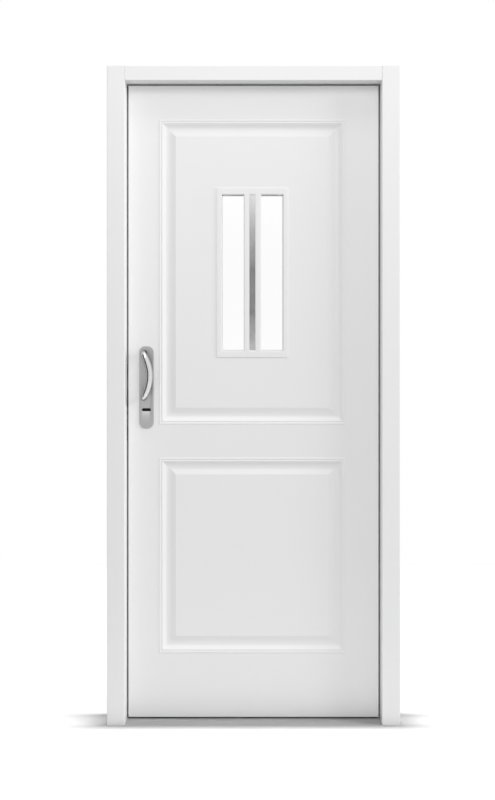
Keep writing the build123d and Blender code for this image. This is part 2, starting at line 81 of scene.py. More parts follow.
# sizes of the plain pieces that their boxes don't tell, in millimetres
PLATE_SHEET = 3.0
PLATE_CORNER = 20.0
BOW_DIAMETER = 19.0
BOW_SHIFT = 6.3
GUIDE_WALL = 4.0
HINGE_FLAG = 50.0
FLAG_SHEET = 3.0
FLAG_SCREW_EDGE = 9.0
FLAG_SCREW_RISE = 13.0
LOCK_SCREW_INSET = 12.0
PLATE_SCREW_INSETS = (16.0, 12.0)
SLEEVE_WALL = 7.0
TRIM_PROUD = 2.5
MULLION_WIDTH = 55.0
OUTER_RETURN = 30.0
INNER_RETURN = 15.0
CLEARANCE = 0.5

# cells of a skin, as columns from the lock side and rows from below
LOWER_PANEL, UPPER_PANEL, KEYHOLE_CELL = (1, 1), (1, 3), (0, 3)

LEAF_FACE = {
    "outer": span_of("handle_plate_outer")[0].y + PLATE_SHEET,
    "inner": span_of("handle_plate_inner")[1].y - PLATE_SHEET,
}


def face_y(side, depth):
    """How far into the wall a depth below the leaf's outer or inner face lies."""
    return LEAF_FACE[side] + (depth if side == "outer" else -depth)


def rgba(colour):
    """A colour with its alpha, or a varying colour as it is."""
    return colour if isinstance(colour, Value) else (*colour, 1.0)


class Value:
    """A number or colour that varies over a surface. Arithmetic on it adds Math nodes."""

    def __init__(self, nodes, socket):
        self.nodes = nodes
        self.socket = socket

    def __add__(self, other):
        return self.nodes.math("ADD", self, other)

    def __sub__(self, other):
        return self.nodes.math("SUBTRACT", self, other)

    def __rsub__(self, other):
        return self.nodes.math("SUBTRACT", other, self)

    def __mul__(self, other):
        return self.nodes.math("MULTIPLY", self, other)

    def __abs__(self):
        return self.nodes.math("ABSOLUTE", self)

    __radd__ = __add__
    __rmul__ = __mul__

    def clamped(self):
        """The value, kept between nought and one."""
        return self.nodes.value("ShaderNodeClamp", {}, {"Value": self})


class Nodes:
    """A shader's node tree, with one method that adds any node."""

    def __init__(self, tree):
        self.tree = tree

    def join(self, socket, value):
        """Links a varying value to a socket, or sets a plain one on it."""
        if isinstance(value, Value):
            self.tree.links.new(value.socket, socket)
        else:
            socket.default_value = value

    def add(self, kind, settings=None, inputs=None):
        """A node of a type, with its settings and then its sockets' values or links."""
        node = self.tree.nodes.new(kind)
        for key, value in (settings or {}).items():
            setattr(node, key, value)
        for key, value in (inputs or {}).items():
            self.join(node.inputs[key], value)
        return node

    def value(self, kind, settings=None, inputs=None, output=0):
        """One output of a new node."""
        return Value(self, self.add(kind, settings, inputs).outputs[output])

    def math(self, operation, *values):
        """A Math node's result."""
        return self.value("ShaderNodeMath", {"operation": operation}, dict(enumerate(values)))

    def seen(self):
        """One for rays that see the background, as the camera, gloss and glass do, or nought."""
        path = self.add("ShaderNodeLightPath")
        camera, gloss, glass = (Value(self, path.outputs[f"Is {ray} Ray"])
                                for ray in ("Camera", "Glossy", "Transmission"))
        return (camera + gloss + glass).clamped()


class Finish(Nodes):
    """A material around one Principled shader, with expressions for what varies."""

    def __init__(self, name, colour, roughness, **constants):
        self.material = bpy.data.materials.new(FINISH_PREFIX + name)
        self.material.use_nodes = True
        super().__init__(self.material.node_tree)
        self.shader = self.tree.nodes["Principled BSDF"]
        self.set("Base Color", rgba(colour))
        self.set("Roughness", roughness)
        for key, value in constants.items():
            self.set(key.replace("_", " ").title().replace("Ior", "IOR"), value)
        self.place = self.value("ShaderNodeTexCoord", output="Object")

    def set(self, name, value):
        """Gives the shader's socket a value, plain or varying."""
        self.join(self.shader.inputs[name], value)

    def noise(self, scale, detail=2.0, stretch=None):
        """Noise over the piece, per metre, stretched by a factor along each axis."""
        where = self.place
        if stretch:
            where = self.value("ShaderNodeVectorMath", {"operation": "MULTIPLY"},
                               {0: self.place, 1: stretch})
        return self.value("ShaderNodeTexNoise", {},
                          {"Vector": where, "Scale": scale, "Detail": detail})

    def cells(self, scale, feature="F1"):
        """Distance within the cells of a Voronoi pattern, per metre."""
        return self.value("ShaderNodeTexVoronoi", {"feature": feature},
                          {"Vector": self.place, "Scale": scale}, "Distance")

    def mixed(self, factor, first, second):
        """A colour between two, by a varying factor."""
        return self.value("ShaderNodeMix", {"data_type": "RGBA"},
                          {0: factor, 6: rgba(first), 7: rgba(second)}, 2)

    def relief(self, *layers):
        """Bumps on the surface, each a height and its depth in millimetres."""
        normal = None
        for height, depth in layers:
            inputs = {"Height": height, "Distance": depth * MM, "Strength": 1.0}
            if normal:
                inputs["Normal"] = normal
            normal = self.value("ShaderNodeBump", {}, inputs)
        self.set("Normal", normal)


def shade(colour, factor):
    """A colour, darkened by a factor."""
    return tuple(c * factor for c in colour)


def powder_coat(name, colour, roughness):
    """Semi-gloss powder coat on sheet: faint orange peel, and sheet that is never quite flat."""
    finish = Finish(name, colour, roughness)
    cloud = finish.noise(5.0, 3.0)
    finish.set("Base Color", finish.mixed(cloud, shade(colour, 0.985), colour))
    finish.set("Roughness", finish.noise(60.0) * 0.08 + (roughness - 0.04))
    finish.relief((finish.noise(3.2, 1.0), 0.35), (finish.noise(620.0, 1.5), 0.012))
    return finish.material


def satin_metal(name, colour, roughness, grain=(1.0, 1.0, 0.02), tint=1.0):
    """Drawn metal with a fine grain along one axis, darker where it turns away by its tint."""
    edge = (tint, tint, tint, 1.0)
    finish = Finish(name, colour, roughness, metallic=1.0, specular_tint=edge)
    lines = finish.noise(2600.0, 3.0, grain)
    cloud = finish.noise(22.0, 2.0)
    finish.set("Base Color", finish.mixed(lines, shade(colour, 0.93), colour))
    finish.set("Roughness", lines * 0.08 + cloud * 0.05 + (roughness - 0.065))
    finish.relief((lines, 0.001))
    return finish.material


def plated_metal(name, colour, roughness):
    """Zinc-plated or galvanised metal with soft spangle."""
    finish = Finish(name, colour, roughness, metallic=1.0)
    spangle = finish.cells(160.0) * 0.9
    cloud = finish.noise(35.0, 3.0)
    finish.set("Base Color", finish.mixed(spangle.clamped(), colour, shade(colour, 0.86)))
    finish.set("Roughness", cloud * 0.14 + (roughness - 0.07))
    finish.relief((cloud, 0.01))
    return finish.material


def moulded(name, colour, roughness, grain=420.0, depth=0.02):
    """Plastic or rubber with a fine moulded grain."""
    finish = Finish(name, colour, roughness)
    fine = finish.noise(grain, 3.0)
    finish.set("Base Color", finish.mixed(fine, shade(colour, 0.85), colour))
    finish.set("Roughness", fine * 0.1 + (roughness - 0.05))
    finish.relief((fine, depth))
    return finish.material


def clear_glass(name, colour):
    """Clear float glass."""
    finish = Finish(name, colour, 0.0, transmission_weight=1.0, ior=1.45)
    haze = finish.noise(9.0, 2.0)
    finish.set("Roughness", (haze - 0.45).clamped() * 0.03)
    return finish.material


def honeycomb(name, colour):
    """Paper honeycomb filling, with painted shade darkening the middle of each hollow cell."""
    finish = Finish(name, colour, 0.9)
    wall = finish.cells(60.0, "DISTANCE_TO_EDGE") * 4.0
    # painted shade: each cell's middle is darker, standing for the shade inside the hollow cell;
    # the same mask also gives the bump
    finish.set("Base Color", finish.mixed(wall.clamped(), colour, shade(colour, 0.45)))
    finish.relief((wall.clamped(), 1.0))
    return finish.material


def rounded(points, radii, steps=5):
    """A polyline with an arc of its own radius at each inner point."""
    path = [Vector(points[0])]
    for before, corner, after, radius in zip(points, points[1:], points[2:], radii):
        corner = Vector(corner)
        a, b = (Vector(before) - corner), (Vector(after) - corner)
        angle = a.angle(b)
        reach = min(radius / math.tan(angle / 2), a.length * 0.49, b.length * 0.49)
        if reach < 1e-6 or angle > math.pi - 1e-3:
            path.append(corner)
            continue
        start, end = corner + a.normalized() * reach, corner + b.normalized() * reach
        for i in range(steps + 1):
            t = i / steps
            path.append(start.lerp(corner, t).lerp(corner.lerp(end, t), t))
    path.append(Vector(points[-1]))
    return path


def ring(x, z, width, height, radius, steps=6):
    """Points (x, z) around a rectangle with round corners."""
    radius = min(radius, width / 2, height / 2)
    points = []
    for quarter, (sx, sz) in enumerate(((1, 1), (-1, 1), (-1, -1), (1, -1))):
        cx, cz = x + sx * (width / 2 - radius), z + sz * (height / 2 - radius)
        for i in range(steps + 1):
            angle = math.pi / 2 * (quarter + i / steps)
            points.append((cx + radius * math.cos(angle), cz + radius * math.sin(angle)))
    return points


class Shape:
    """A mesh in the doorway's axes, made of loops that are bridged, fanned and capped."""

    def __init__(self):
        self.points = []
        self.faces = []

    def loop(self, points):
        """Adds points and gives their numbers."""
        first = len(self.points)
        self.points += [tuple(p) for p in points]
        return list(range(first, len(self.points)))

    def bridge(self, a, b, closed=True):
        """Joins two loops of as many points by a band of faces."""
        n = len(a)
        for i in range(n if closed else n - 1):
            j = (i + 1) % n
            self.faces.append((a[i], a[j], b[j], b[i]))

    def cap(self, loop):
        """Fills a loop with one face."""
        self.faces.append(tuple(loop))

    def fan(self, corners, loop):
        """Joins four corners to a ring that has as many points at each corner."""
        n = len(loop) // 4
        for q, corner in enumerate(corners):
            quarter = loop[q * n:(q + 1) * n]
            for a, b in zip(quarter, quarter[1:]):
                self.faces.append((corner, a, b))
            following = (q + 1) % 4
            self.faces.append((corner, quarter[-1], loop[following * n], corners[following]))

    def piece(self, name, material, body, slot, replaces=(), smooth=38.0):
        """The finished object, riding on its body."""
        mesh = bpy.data.meshes.new(name)
        mesh.from_pydata([at(*p) for p in self.points], [], self.faces)
        work = bmesh.new()
        work.from_mesh(mesh)
        bmesh.ops.remove_doubles(work, verts=work.verts, dist=0.5e-5)
        bmesh.ops.dissolve_degenerate(work, edges=work.edges, dist=1e-7)
        bmesh.ops.recalc_face_normals(work, faces=work.faces)
        work.to_mesh(mesh)
        work.free()
        mesh.shade_smooth()
        mesh.set_sharp_from_angle(angle=math.radians(smooth))
        mesh.materials.append(material)
        made = bpy.data.objects.new(name, mesh)
        bpy.context.scene.collection.objects.link(made)
        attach(made, body)
        if replaces:
            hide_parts(*replaces)
        return made


def dress(nodes, material):
    """Gives CAD nodes a finish."""
    for name in nodes:
        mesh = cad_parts[name].data
        mesh.materials.clear()
        mesh.materials.append(material)


def material(name):
    """A finish that DOOR_OT_mix_finishes has made."""
    return bpy.data.materials[FINISH_PREFIX + name]


def paint_can(name, description, grey):
    """A colour that a user can change. It starts as a grey."""
    return FloatVectorProperty(name=name, description=description, subtype="COLOR", size=3,
                               default=(grey, grey, grey), min=0, max=1)


def length(name, description, size):
    """A length that a user can change. Its size is given in millimetres."""
    return FloatProperty(name=name, description=description, default=size * MM,
                         subtype="DISTANCE", precision=4)


def share(name, description, amount):
    """A share of one that a user can change."""
    return FloatProperty(name=name, description=description, default=amount, min=0, max=1,
                         subtype="FACTOR")


def power(name, description, watts):
    """A lamp's power that a user can change."""
    return FloatProperty(name=name, description=description, default=watts, min=0,
                         subtype="POWER")


def in_millimetres(group):
    """A group's lengths as plain millimetres."""
    return SimpleNamespace(**{name: getattr(group, name) / MM for name in group.__annotations__})


class DoorFinishSettings(bpy.types.PropertyGroup):
    """Colours and roughness of the finishes."""

    paint: paint_can("Paint", "Powder coat of leaf, frame and trims", 0.86)
    paint_roughness: share("Paint roughness", "Gloss of the powder coat", 0.42)
    plate: paint_can("Plate", "Satin metal of the handle plates", 0.42)
    bow: paint_can("Bow", "Satin metal of the bow pulls", 0.72)
    strip: paint_can("Strip", "Polished strips on the mullions", 0.8)


class DoorLeafSettings(bpy.types.PropertyGroup):
    """Sizes of the pressed leaf and its window."""

    lock_stile: length("Lock stile", "Leaf edge to the panels, lock side", 95.5)
    hinge_stile: length("Hinge stile", "Leaf edge to the panels, hinge side", 102.5)
    top_rail: length("Top rail", "Above the upper panel", 106.5)
    lock_rail: length("Lock rail", "Between the panels", 102.5)
    bottom_rail: length("Bottom rail", "Below the lower panel", 201.0)
    lower_panel: length("Lower panel", "Its height", 619.0)
    moulding: length("Moulding", "Width of a panel's moulding", 54.0)
    bead: length("Bead", "Width of the moulding's outer bead", 8.0)
    bead_rise: length("Bead rise", "Height of the bead", 1.2)
    cove: length("Cove", "Depth of the moulding's cove", 7.5)
    field: length("Field", "Depth of the panel's field", 1.5)
    bend: length("Bend", "Radius of the leaf's folded edges", 1.8)
    trim_bevel: length("Trim bevel", "Bevel of the trim toward the glass", 3.0)
    bar_bevel: length("Bar bevel", "Bevel of the mullion's bars", 3.0)
    strip_recess: length("Strip recess", "Depth of the recess for the strip", 5.0)


class DoorFittingSettings(bpy.types.PropertyGroup):
    """Sizes of the fittings."""

    plate_edge: length("Plate edge", "Radius of the plate's front edge", 1.2)
    bow_middle: length("Bow", "Diameter at the middle of the bow", 22.0)
    bow_tip: length("Bow tip", "Diameter at the bow's feet", 18.0)
    bow_length: length("Bow length", "Over both feet", 157.0)
    bow_bend: length("Bow bend", "Radius of the bends at the feet", 13.0)
    bow_lean: length("Bow lean", "Farther out than the plain bow", 2.5)
    bow_lift: length("Bow lift", "Above the middle of the plain bow", -2.0)
    screw: length("Screw", "Diameter of the screws' heads", 8.0)


class DoorStageSettings(bpy.types.PropertyGroup):
    """Camera and light."""

    distance: length("Distance", "Camera to the frame's front", 3440.0)
    eye: length("Eye height", "Camera above the floor", 1266.0)
    lens: FloatProperty(name="Lens", description="Focal length", subtype="DISTANCE_CAMERA",
                        default=49.8)
    ambient: share("Ambient", "Light from all round", 0.54)
    front: power("Front light", "Soft light from the front", 44.0)
    top: power("Top light", "Soft light from above", 48.0)
    near_side: power("Near side light", "Low light from the right", 18.0)
    far_side: power("Far side light", "Distant light from the right", 195.0)
    overhead: power("Floor light", "Light for the floor alone", 4700.0)
    floor: share("Floor", "Grey of the floor", 0.335)
    bounce: share("Floor bounce", "Grey that the floor gives back", 0.16)
    # painted pool of bounce light: the paler grey the floor throws back near the door's foot
    foot_bounce: share("Foot bounce", "Grey it gives back near the door", 0.25)


def moulding_profile(sizes):
    """Inset and depth of the panel moulding, from its outer edge to the field."""
    bead, rise, width, cove = sizes.bead, sizes.bead_rise, sizes.moulding, sizes.cove
    points = [
        (-1.5, 0), (0, 0), (bead * 0.4, -rise), (bead * 0.65, -rise), (bead, 0), (bead + 1, 0.4),
        (bead + 2.6, -0.8), (bead + 4.2, -0.8), (width * 0.46, cove), (width * 0.68, cove),
        (width, sizes.field), (width + 4, sizes.field),
    ]
    radii = [2.0, 2.5, 2.5, 2.0, 0.6, 1.2, 2.0, 16.0, 22.0, 0.8]
    return rounded(points, radii)


def hole_round(node, side, depth):
    """Points around a node's box, with its clearance, at a depth below the leaf's face."""
    (x0, _, z0), (x1, _, z1) = span_of(node)
    outline = ring((x0 + x1) / 2, (z0 + z1) / 2, x1 - x0 + 2 * CLEARANCE,
                   z1 - z0 + 2 * CLEARANCE, 1.0)
    return [(x, face_y(side, depth), z) for x, z in outline]


def pressed_skin(side, sizes):
    """One skin of the leaf with its pressed panels, its window hole and its folded edges."""
    low, high = span_of(side + "_skin")
    x0, x1, z0, z1 = low.x, high.x, low.z, high.z
    rim = OUTER_RETURN if side == "outer" else INNER_RETURN
    left = span_of("outer_skin")[0].x + sizes.lock_stile
    right = span_of("outer_skin")[1].x - sizes.hinge_stile
    top = span_of("outer_skin")[1].z - sizes.top_rail
    bottom = span_of("outer_skin")[0].z + sizes.bottom_rail
    middle = bottom + sizes.lower_panel
    xs = [x0, left, right, x1]
    zs = [z0, bottom, middle, middle + sizes.lock_rail, top, z1]
    shape = Shape()

    def edge(inset, depth):
        ex = [x0 + inset, left, right, x1 - inset]
        ez = [z0 + inset, *zs[1:5], z1 - inset]
        y = face_y(side, depth)
        points = [(x, y, ez[0]) for x in ex] + [(ex[-1], y, z) for z in ez[1:]]
        points += [(x, y, ez[-1]) for x in ex[-2::-1]] + [(ex[0], y, z) for z in ez[-2:0:-1]]
        return shape.loop(points)

    profile = rounded([(26.0, rim), (0.0, rim), (0.0, 0.0), (sizes.bend * 1.5, 0.0)],
                      [0.3, sizes.bend])
    if side == "outer":
        profile = profile[1:]
    loops = [edge(inset, depth) for inset, depth in profile]
    for a, b in zip(loops, loops[1:]):
        shape.bridge(a, b)
    inset = profile[-1][0]
    xs[0], xs[-1], zs[0], zs[-1] = x0 + inset, x1 - inset, z0 + inset, z1 - inset
    grid = {}
    for i, x in enumerate(xs):
        for k, z in enumerate(zs):
            grid[i, k] = shape.loop([(x, face_y(side, 0), z)])[0]
    for i in range(3):
        for k in range(5):
            corners = [grid[i + 1, k + 1], grid[i, k + 1], grid[i, k], grid[i + 1, k]]
            if (i, k) == KEYHOLE_CELL:
                shape.fan(corners, shape.loop(hole_round("key_guide_" + side, side, 0)))
                continue
            if (i, k) not in (LOWER_PANEL, UPPER_PANEL):
                shape.cap(corners)
                continue
            panel_x, panel_z = (xs[1] + xs[2]) / 2, (zs[k] + zs[k + 1]) / 2
            width, height = xs[2] - xs[1], zs[k + 1] - zs[k]
            previous = None
            for inset, depth in moulding_profile(sizes)[1:]:
                radius = max(1.0, 3.5 - inset * 0.06)
                outline = ring(panel_x, panel_z, width - 2 * inset, height - 2 * inset, radius)
                y = face_y(side, depth)
                loop = shape.loop([(x, y, z) for x, z in outline])
                if previous:
                    shape.bridge(previous, loop)
                else:
                    shape.fan(corners, loop)
                previous = loop
            if (i, k) == LOWER_PANEL:
                shape.cap(previous)
            else:
                shape.bridge(previous, shape.loop(hole_round("glass_outer", side, sizes.field)))
    return shape


def window_trim(side, sizes):
    """The trim's soft-edged flange, its bevel and its sleeve to the glass."""
    trim, glass = span_of("window_trim_" + side), span_of("glass_" + side)
    x, z = (trim[0].x + trim[1].x) / 2, (trim[0].z + trim[1].z) / 2
    width, height = trim[1].x - trim[0].x, trim[1].z - trim[0].z
    bevel, proud = sizes.trim_bevel, TRIM_PROUD
    clear_w = glass[1].x - glass[0].x - 2 * SLEEVE_WALL
    clear_h = glass[1].z - glass[0].z - 2 * SLEEVE_WALL
    seat = abs((glass[0].y if side == "outer" else glass[1].y) - face_y(side, sizes.field))
    shape = Shape()
    outside = rounded([(0, 0), (0, -proud), (6, -proud)], [1.4], 6)
    inside = rounded([(bevel + 2, -proud), (bevel, -proud), (0, bevel - proud), (0, seat)],
                     [0.7, 0.9])
    loops = []
    for inset, depth in outside:
        outline = ring(x, z, width - 2 * inset, height - 2 * inset, 1.6)
        loops.append([(px, face_y(side, sizes.field + depth), pz) for px, pz in outline])
    for out, depth in inside:
        outline = ring(x, z, clear_w + 2 * out, clear_h + 2 * out, 0.8)
        loops.append([(px, face_y(side, sizes.field + depth), pz) for px, pz in outline])
    loops = [shape.loop(points) for points in loops]
    for a, b in zip(loops, loops[1:]):
        shape.bridge(a, b)
    return shape


def mullion(side, sizes):
    """Two bars, flush with the trim, with a recess between them for the strip."""
    trim, glass = span_of("window_trim_" + side), span_of("glass_" + side)
    strip = span_of("mullion_strip_" + side)
    x = (trim[0].x + trim[1].x) / 2
    bevel, recess, front = sizes.bar_bevel, sizes.strip_recess, -TRIM_PROUD
    reach = sizes.trim_bevel - SLEEVE_WALL
    top, bottom = glass[1].z + reach, glass[0].z - reach
    seat = abs((glass[0].y if side == "outer" else glass[1].y) - face_y(side, sizes.field))
    half, gap = MULLION_WIDTH / 2, (strip[1].x - strip[0].x) / 2 + 0.2
    shape = Shape()
    points = [(-half, seat), (-half, front + bevel), (-half + bevel, front), (-gap, front),
              (-gap, front + recess), (gap, front + recess), (gap, front), (half - bevel, front),
              (half, front + bevel), (half, seat)]
    radii = [0.8, 0.8, 0.5, 0.1, 0.1, 0.5, 0.8, 0.8]
    profile = rounded(points, radii, 4)
    ends = [shape.loop([(x + px, face_y(side, sizes.field + depth), z) for px, depth in profile])
            for z in (bottom, top)]
    shape.bridge(ends[0], ends[1], closed=False)
    return shape


def handle_plate(side, fittings):
    """The long plate with a soft front edge and the keyhole slot."""
    (x0, _, z0), (x1, _, z1) = span_of("handle_plate_" + side)
    guide = span_of("key_guide_" + side)
    key_x, key_z = (guide[0].x + guide[1].x) / 2, (guide[0].z + guide[1].z) / 2
    key_w = guide[1].x - guide[0].x - 2 * GUIDE_WALL
    key_h = guide[1].z - guide[0].z - 2 * GUIDE_WALL
    x, z, width, height, r = (x0 + x1) / 2, (z0 + z1) / 2, x1 - x0, z1 - z0, fittings.plate_edge
    shape = Shape()
    loops = []
    front = -PLATE_SHEET
    for inset, depth in rounded([(0, 0), (0, front), (3 * r, front)], [r], 6):
        outline = ring(x, z, width - 2 * inset, height - 2 * inset, PLATE_CORNER - inset, 12)
        loops.append([(px, face_y(side, depth), pz) for px, pz in outline])
    for grow, depth in ((0.5, front), (0.15, front + 0.15), (0.0, front + 0.5), (0.0, 0.0)):
        outline = ring(key_x, key_z, key_w + 2 * grow, key_h + 2 * grow, key_h / 2 + grow, 12)
        loops.append([(px, face_y(side, depth), pz) for px, pz in outline])
    loops = [shape.loop(points) for points in loops]
    for a, b in zip(loops, loops[1:]):
        shape.bridge(a, b)
    return shape


def bow_path(side, fittings):
    """The bow's axis and its share of the way to mid bow, from the lower foot to the upper one."""
    low, high = span_of("bow_pull_" + side)
    plate = span_of("handle_plate_" + side)
    middle = (low.z + high.z) / 2 + fittings.bow_lift
    half = (fittings.bow_length - fittings.bow_tip) / 2
    foot_x = (plate[0].x + plate[1].x) / 2 - BOW_SHIFT
    sweep = high.x + fittings.bow_lean - fittings.bow_middle / 2 - foot_x
    reach = abs((low.y if side == "outer" else high.y) - face_y(side, 0)) - BOW_DIAMETER / 2
    bend = fittings.bow_bend

    def place(along, depth):
        return Vector((foot_x + sweep * (1 - along * along), -depth, middle + half * along)), along

    path = [place(-1, depth) for depth in (0, reach - bend)]
    turns, steps = 8, 48
    for i in range(1, turns + 1):
        angle = math.pi / 2 * i / turns
        along = -1 + bend * (1 - math.cos(angle)) / half
        path.append(place(along, reach - bend + bend * math.sin(angle)))
    start = -1 + bend / half
    path += [place(start * (1 - i / steps), reach) for i in range(1, steps + 1)]
    for point, along in path[-2::-1]:
        path.append((Vector((point.x, point.y, 2 * middle - point.z)), -along))
    return path


def bow_pull(side, fittings):
    """A round bar that leans toward the middle of the leaf, its feet bent to the plate."""
    path = bow_path(side, fittings)
    shape, previous, around = Shape(), None, 40
    for i, (here, along) in enumerate(path):
        ahead, behind = path[min(i + 1, len(path) - 1)][0], path[max(i - 1, 0)][0]
        way = (ahead - behind).normalized()
        first = Vector((1, 0, 0))
        first = (first - way * first.dot(way)).normalized()
        second = way.cross(first)
        swell = 1 - along * along
        radius = (fittings.bow_tip + (fittings.bow_middle - fittings.bow_tip) * swell) / 2
        loop = []
        for k in range(around):
            a = 2 * math.pi * k / around
            p = here + (first * math.cos(a) + second * math.sin(a)) * radius
            loop.append((p.x, face_y(side, min(p.y, 0.0)), p.z))
        loop = shape.loop(loop)
        if previous:
            shape.bridge(previous, loop)
        previous = loop
    return shape


def screw(shape, centre, normal, diameter):
    """A raised countersunk head with a hexagon socket, on a surface that faces normal."""
    normal = Vector(normal).normalized()
    first = Vector((0, 0, 1)) if abs(normal.z) < 0.9 else Vector((1, 0, 0))
    first = (first - normal * first.dot(normal)).normalized()
    second = normal.cross(first)
    r = diameter / 2
    around = 24

    def circle(radius, height, sides=0):
        points = []
        for k in range(around):
            a = 2 * math.pi * k / around
            size = radius
            if sides:
                step = math.pi / sides
                size = radius * math.cos(step) / math.cos((a % (2 * step)) - step)
            out = first * math.cos(a) + second * math.sin(a)
            points.append(Vector(centre) + normal * height + out * size)
        return shape.loop(points)

    loops = [circle(r, 0.0), circle(r, 0.25), circle(r * 0.94, 0.5), circle(r * 0.7, 0.8),
             circle(r * 0.46, 0.9), circle(r * 0.42, 0.8, 6), circle(r * 0.42, 0.1, 6)]
    for a, b in zip(loops, loops[1:]):
        shape.bridge(a, b)
    shape.cap(loops[-1])


class DOOR_OT_mix_finishes(bpy.types.Operator):
    """Makes every finish of the door"""

    bl_idname = "door.mix_finishes"
    bl_label = "Finishes"

    def execute(self, context):
        colours = context.scene.door_finish
        paint = tuple(colours.paint)
        powder_coat("leaf_paint", paint, colours.paint_roughness)
        powder_coat("frame_paint", paint, colours.paint_roughness)
        powder_coat("trim_paint", paint, colours.paint_roughness - 0.06)
        satin_metal("plate_metal", tuple(colours.plate), 0.38)
        satin_metal("bow_metal", tuple(colours.bow), 0.22, tint=0.0)
        satin_metal("strip_metal", tuple(colours.strip), 0.16)
        plated_metal("lock_metal", (0.5, 0.5, 0.49), 0.42)
        satin_metal("hinge_metal", (0.58, 0.58, 0.58), 0.3, (1.0, 1.0, 0.1))
        plated_metal("anchor_metal", (0.5, 0.51, 0.52), 0.5)
        satin_metal("screw_metal", (0.6, 0.6, 0.6), 0.28, (1.0, 1.0, 1.0))
        plated_metal("spacer_metal", (0.7, 0.7, 0.7), 0.4)
        moulded("key_guide", (0.006, 0.006, 0.006), 0.6)
        moulded("seal_rubber", (0.8, 0.8, 0.8), 0.62)
        clear_glass("glazing", (1.0, 1.0, 1.0))
        honeycomb("filling", (0.5, 0.42, 0.3))
        return {"FINISHED"}


class DOOR_OT_coat_frame(bpy.types.Operator):
    """Coats the jambs and the head"""

    bl_idname = "door.coat_frame"
    bl_label = "Frame"

    def execute(self, context):
        dress(("jamb_hinge_side", "jamb_lock_side", "head"), material("frame_paint"))
        return {"FINISHED"}


class DOOR_OT_press_skins(bpy.types.Operator):
    """Presses the leaf's two skins"""

    bl_idname = "door.press_skins"
    bl_label = "Leaf skins"

    def execute(self, context):
        for side in ("outer", "inner"):
            pressed_skin(side, in_millimetres(context.scene.door_leaf)).piece(
                "leaf_skin_" + side, material("leaf_paint"), "leaf", "leaf_paint",
                [side + "_skin"])
        dress(("core",), material("filling"))
        return {"FINISHED"}


class DOOR_OT_glaze_window(bpy.types.Operator):
    """Fits the window's trims, mullions, strips and glass"""

    bl_idname = "door.glaze_window"
    bl_label = "Window"

    def execute(self, context):
        sizes = in_millimetres(context.scene.door_leaf)
        for side in ("outer", "inner"):
            window_trim(side, sizes).piece("trim_" + side, material("trim_paint"), "leaf",
                                           "trim_paint", ["window_trim_" + side])
            mullion(side, sizes).piece("mullion_" + side, material("trim_paint"), "leaf",
                                       "trim_paint", ["window_trim_" + side])
        dress(("glass_outer", "glass_inner"), material("glazing"))
        dress(("glass_spacer",), material("spacer_metal"))
        dress(("mullion_strip_outer", "mullion_strip_inner"), material("strip_metal"))
        return {"FINISHED"}


class DOOR_OT_fit_handles(bpy.types.Operator):
    """Fits the handle plates, the bow pulls and the key guides"""

    bl_idname = "door.fit_handles"
    bl_label = "Handles"

    def execute(self, context):
        fittings = in_millimetres(context.scene.door_fittings)
        for side in ("outer", "inner"):
            handle_plate(side, fittings).piece(
                "plate_" + side, material("plate_metal"), "leaf", "handle_metal",
                ["handle_plate_" + side])
            bow_pull(side, fittings).piece("bow_" + side, material("bow_metal"), "leaf",
                                           "handle_metal", ["bow_pull_" + side], smooth=60)
        dress(("key_guide_outer", "key_guide_inner"), material("key_guide"))
        low, high = span_of("handle_plate_inner")
        screws = Shape()
        below, above = PLATE_SCREW_INSETS
        for z in (low.z + below, high.z - above):
            screw(screws, ((low.x + high.x) / 2, high.y, z), (0, 1, 0), fittings.screw)
        screws.piece("plate_screws", material("screw_metal"), "leaf", "handle_metal")
        return {"FINISHED"}


class DOOR_OT_fit_lock(bpy.types.Operator):
    """Fits the lock, its faceplate and the strike"""

    bl_idname = "door.fit_lock"
    bl_label = "Lock"

    def execute(self, context):
        dress(("lock_case", "lock_faceplate", "latch", "dead_bolts", "strike_plate"),
              material("lock_metal"))
        diameter = in_millimetres(context.scene.door_fittings).screw
        for node, body, facing in (("lock_faceplate", "leaf", -1), ("strike_plate", "frame", 1)):
            low, high = span_of(node)
            surface = low.x if facing < 0 else high.x
            screws = Shape()
            for z in (low.z + LOCK_SCREW_INSET, high.z - LOCK_SCREW_INSET):
                screw(screws, (surface, (low.y + high.y) / 2, z), (facing, 0, 0), diameter)
            screws.piece(node + "_screws", material("screw_metal"), body, "lock_metal")
        return {"FINISHED"}


class DOOR_OT_hang_hinges(bpy.types.Operator):
    """Finishes the hinges and screws them on"""

    bl_idname = "door.hang_hinges"
    bl_label = "Hinges"

    def execute(self, context):
        diameter = in_millimetres(context.scene.door_fittings).screw
        lowest, highest = span_of("hinge_leaf_halves")
        pitch = highest.z - lowest.z - HINGE_FLAG
        for body in ("frame", "leaf"):
            node = f"hinge_{body}_halves"
            dress((node,), material("hinge_metal"))
            low, high = span_of(node)
            x = high.x - FLAG_SCREW_EDGE if body == "frame" else low.x + FLAG_SCREW_EDGE
            first, last = low.z + HINGE_FLAG / 2, low.z + pitch + HINGE_FLAG / 2
            screws = Shape()
            for middle in (first, (first + last) / 2, last):
                for z in (middle - FLAG_SCREW_RISE, middle + FLAG_SCREW_RISE):
                    screw(screws, (x, low.y + FLAG_SHEET, z), (0, 1, 0), diameter)
            screws.piece(f"hinge_{body}_screws", material("screw_metal"), body, "hinge_metal")
        return {"FINISHED"}


class DOOR_OT_fit_seals(bpy.types.Operator):
    """Finishes the bulb seals and the wall anchors"""

    bl_idname = "door.fit_seals"
    bl_label = "Seals and anchors"

    def execute(self, context):
        dress(("seal_hinge_side", "seal_lock_side", "seal_head"), material("seal_rubber"))
        dress(("anchors_hinge_side", "anchors_lock_side"), material("anchor_metal"))
        return {"FINISHED"}


WHITE = (1.0, 1.0, 1.0)
CARD_GREY = (0.02, 0.02, 0.02)
# half the floor, and where and how far in metres its painted pool of bounce light lights the
# door's foot
FLOOR_HALF = 2200
FOOT_SPOT = (0, -150, 0)
FOOT_FULL = 0.3
FOOT_REACH = 0.8
DOOR_MIDDLE = (0, 50, 1150)
